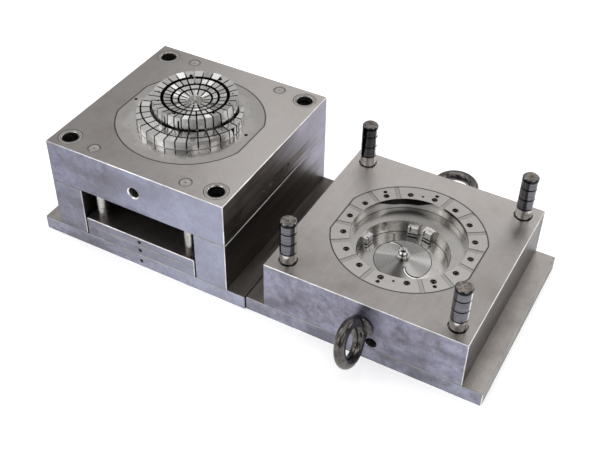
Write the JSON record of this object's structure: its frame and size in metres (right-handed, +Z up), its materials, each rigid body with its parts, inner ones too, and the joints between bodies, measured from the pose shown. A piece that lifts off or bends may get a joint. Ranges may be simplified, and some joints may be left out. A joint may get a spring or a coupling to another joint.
{
  "type": "injection mould",
  "caption": "Two-plate injection mould, opened and stood side by side: core half with ejector box, cavity half with guide pins and lifting eyes, for an off-centre ribbed round cover.",
  "frame": {"origin": "on the floor, in the middle of the two clamp plates side by side", "axes": "+Z up, +X from the core half to the cavity half, +Y to the rear"},
  "size_m": [0.6004, 0.3696, 0.1775],
  "materials": {
    "plate_steel": "ground",
    "insert_steel": "fine machined, partly polished",
    "turned_steel": "turned",
    "ground_pin_steel": "hardened and ground",
    "screw_steel": "black oxide",
    "forged_steel": "zinc plated forging"
  },
  "bodies": {
    "mould": {"moving_clamp_plate": "plate_steel", "spacer_block_left": "plate_steel", "spacer_block_right": "plate_steel", "core_plate": "plate_steel", "core_insert": "insert_steel", "upper_core": "insert_steel", "core_pin": "turned_steel", "moving_side_screws": "screw_steel", "core_insert_screws": "screw_steel", "guide_bush_front_left": "ground_pin_steel", "guide_bush_front_right": "ground_pin_steel", "guide_bush_rear_left": "ground_pin_steel", "guide_bush_rear_right": "ground_pin_steel", "fixed_clamp_plate": "plate_steel", "cavity_plate": "plate_steel", "cavity_insert": "insert_steel", "floor_disc": "turned_steel", "floor_disc_screws": "screw_steel", "clip_block_1": "insert_steel", "clip_block_2": "insert_steel", "clip_block_3": "insert_steel", "wall_pin": "ground_pin_steel", "sprue_bush": "turned_steel", "locating_ring": "turned_steel", "locating_ring_screws": "screw_steel", "eye_bolt_front": "forged_steel", "eye_bolt_rear": "forged_steel", "fixed_side_screws": "screw_steel", "rim_screws": "screw_steel", "rim_dowels": "ground_pin_steel", "guide_pin_front_left": "ground_pin_steel", "guide_pin_front_right": "ground_pin_steel", "guide_pin_rear_left": "ground_pin_steel", "guide_pin_rear_right": "ground_pin_steel"},
    "ejector": {"ejector_plate": "plate_steel", "retainer_plate": "plate_steel", "ejector_plate_screws": "screw_steel", "ejector_pins": "ground_pin_steel", "return_pin_front_left": "ground_pin_steel", "return_pin_front_right": "ground_pin_steel", "return_pin_rear_left": "ground_pin_steel", "return_pin_rear_right": "ground_pin_steel"}
  },
  "joints": [
    {"name": "ejector_slide", "type": "slide", "parent": "mould", "child": "ejector", "axis": [0, 0, 1], "range_m": [0, 0.04]}
  ]
}
